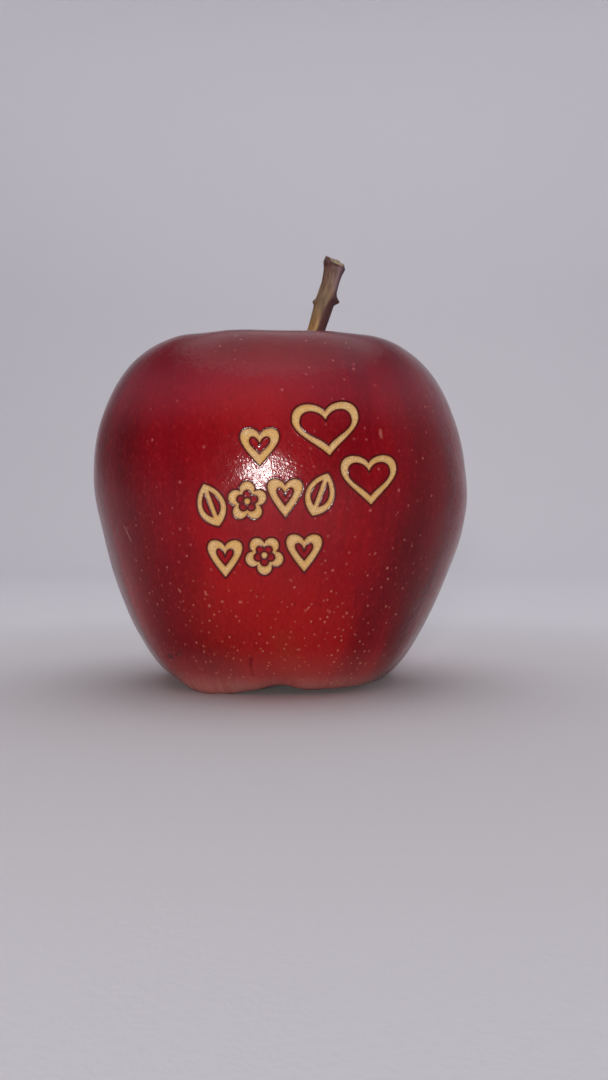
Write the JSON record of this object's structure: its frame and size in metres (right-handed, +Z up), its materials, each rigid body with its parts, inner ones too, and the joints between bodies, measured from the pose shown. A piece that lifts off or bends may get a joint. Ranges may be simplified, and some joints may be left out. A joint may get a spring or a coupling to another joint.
{
  "type": "apple",
  "caption": "Ripe deep red dessert apple standing on its lobed base, with a leaning woody stem and shallow cream marks burnt into the front skin.",
  "frame": {"origin": "on the surface the apple stands on, under the middle of its box", "axes": "+Z up along the core, the marked face towards -Y, +X to the right of someone facing the marks"},
  "size_m": [0.0786, 0.0786, 0.091],
  "materials": {
    "skin": "waxy satin skin, deep crimson, with small pale lenticels and cream burnt marks",
    "stem_wood": "rough brown bark, golden low down and grey-brown at the end",
    "dried_sepals": "dry matt brown"
  },
  "bodies": {
    "root": {"fruit": "skin", "stem": "stem_wood", "calyx": "dried_sepals"}
  },
  "joints": []
}
